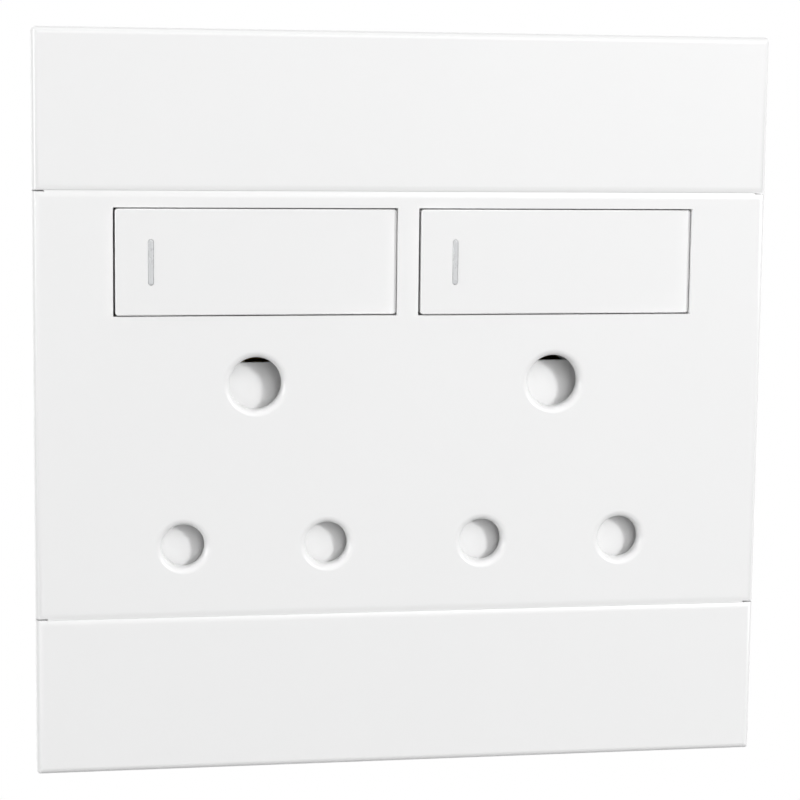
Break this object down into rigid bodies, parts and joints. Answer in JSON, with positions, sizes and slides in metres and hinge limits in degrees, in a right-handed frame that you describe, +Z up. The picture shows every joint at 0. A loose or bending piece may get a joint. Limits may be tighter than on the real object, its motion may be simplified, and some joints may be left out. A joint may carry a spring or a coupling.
{
  "type": "double switched wall socket",
  "caption": "Large square white double wall socket for three round pins, with a wide rocker switch over each outlet, slim indicator windows and clip-on covers.",
  "frame": {"origin": "on the wall's surface, halfway between the two fixing screws, behind the middle of the cover", "axes": "+X to the right as seen from the room, +Z up, -Y into the room and +Y into the wall"},
  "size_m": [0.13, 0.039, 0.13],
  "materials": {
    "cover_plastic": "smooth satin-gloss white",
    "indicator_lens": "milky translucent pale grey",
    "shutter_plastic": "smooth white",
    "frame_plastic": "fine matt moulded white",
    "housing_plastic": "fine spark-textured off-white",
    "screw_steel": "zinc plated",
    "spring_steel": "drawn wire",
    "contact_brass": "stamped, satin",
    "terminal_brass": "machined",
    "contact_silver": "silver alloy, satin",
    "board_green": "lacquered board",
    "led_body": "clear moulded body"
  },
  "bodies": {
    "socket_body": {"earth_bar": "contact_brass", "earth_sleeve_left": "contact_brass", "earth_sleeve_right": "contact_brass", "earth_terminal": "terminal_brass", "faceplate": "cover_plastic", "fixed_tip_left": "contact_silver", "fixed_tip_right": "contact_silver", "housing_screws": "screw_steel", "indicator_board_left": "board_green", "indicator_board_right": "board_green", "indicator_led_left": "led_body", "indicator_led_right": "led_body", "live_busbar": "contact_brass", "live_sleeve_left": "contact_brass", "live_sleeve_right": "contact_brass", "live_strap_left": "contact_brass", "live_strap_right": "contact_brass", "live_terminal": "terminal_brass", "lower_strip": "cover_plastic", "mounting_frame": "frame_plastic", "mounting_screws": "screw_steel", "neutral_bar": "contact_brass", "neutral_sleeve_left": "contact_brass", "neutral_sleeve_right": "contact_brass", "neutral_terminal": "terminal_brass", "rear_housing": "housing_plastic", "shutter_spring_left": "spring_steel", "shutter_spring_right": "spring_steel", "terminal_screws": "screw_steel", "upper_strip": "cover_plastic"},
    "rocker_left_body": {"rocker_left": "cover_plastic", "indicator_lens_left": "indicator_lens", "rocker_plunger_left": "shutter_plastic", "plunger_spring_left": "spring_steel"},
    "contact_arm_left_body": {"contact_arm_left": "contact_brass", "arm_tip_left": "contact_silver"},
    "shutter_left_body": {"shutter_left": "shutter_plastic"},
    "rocker_right_body": {"rocker_right": "cover_plastic", "indicator_lens_right": "indicator_lens", "rocker_plunger_right": "shutter_plastic", "plunger_spring_right": "spring_steel"},
    "contact_arm_right_body": {"contact_arm_right": "contact_brass", "arm_tip_right": "contact_silver"},
    "shutter_right_body": {"shutter_right": "shutter_plastic"}
  },
  "joints": [
    {"name": "left_rocker_press", "type": "hinge", "parent": "socket_body", "child": "rocker_left_body", "pos_m": [-0.02665, -0.0048, 0.0251], "axis": [0, 0, 1], "range_deg": [-3.2, 0]},
    {"name": "right_rocker_press", "type": "hinge", "parent": "socket_body", "child": "rocker_right_body", "pos_m": [0.02665, -0.0048, 0.0251], "axis": [0, 0, 1], "range_deg": [-3.2, 0]},
    {"name": "left_contact_close", "type": "hinge", "parent": "socket_body", "child": "contact_arm_left_body", "pos_m": [-0.02665, 0.008, 0.0251], "axis": [0, 0, 1], "range_deg": [0, 14]},
    {"name": "right_contact_close", "type": "hinge", "parent": "socket_body", "child": "contact_arm_right_body", "pos_m": [0.02665, 0.008, 0.0251], "axis": [0, 0, 1], "range_deg": [0, 14]},
    {"name": "left_shutter_drop", "type": "slide", "parent": "socket_body", "child": "shutter_left_body", "axis": [0, 0, -1], "range_m": [0, 0.0088], "stiffness_N_per_m": 60, "springref_m": -0.01, "deforming": ["shutter_spring_left"]},
    {"name": "right_shutter_drop", "type": "slide", "parent": "socket_body", "child": "shutter_right_body", "axis": [0, 0, -1], "range_m": [0, 0.0088], "stiffness_N_per_m": 60, "springref_m": -0.01, "deforming": ["shutter_spring_right"]}
  ],
  "couplings": [
    {"joint": "left_contact_close", "follows": "left_rocker_press", "ratio": -4.375},
    {"joint": "right_contact_close", "follows": "right_rocker_press", "ratio": -4.375}
  ]
}
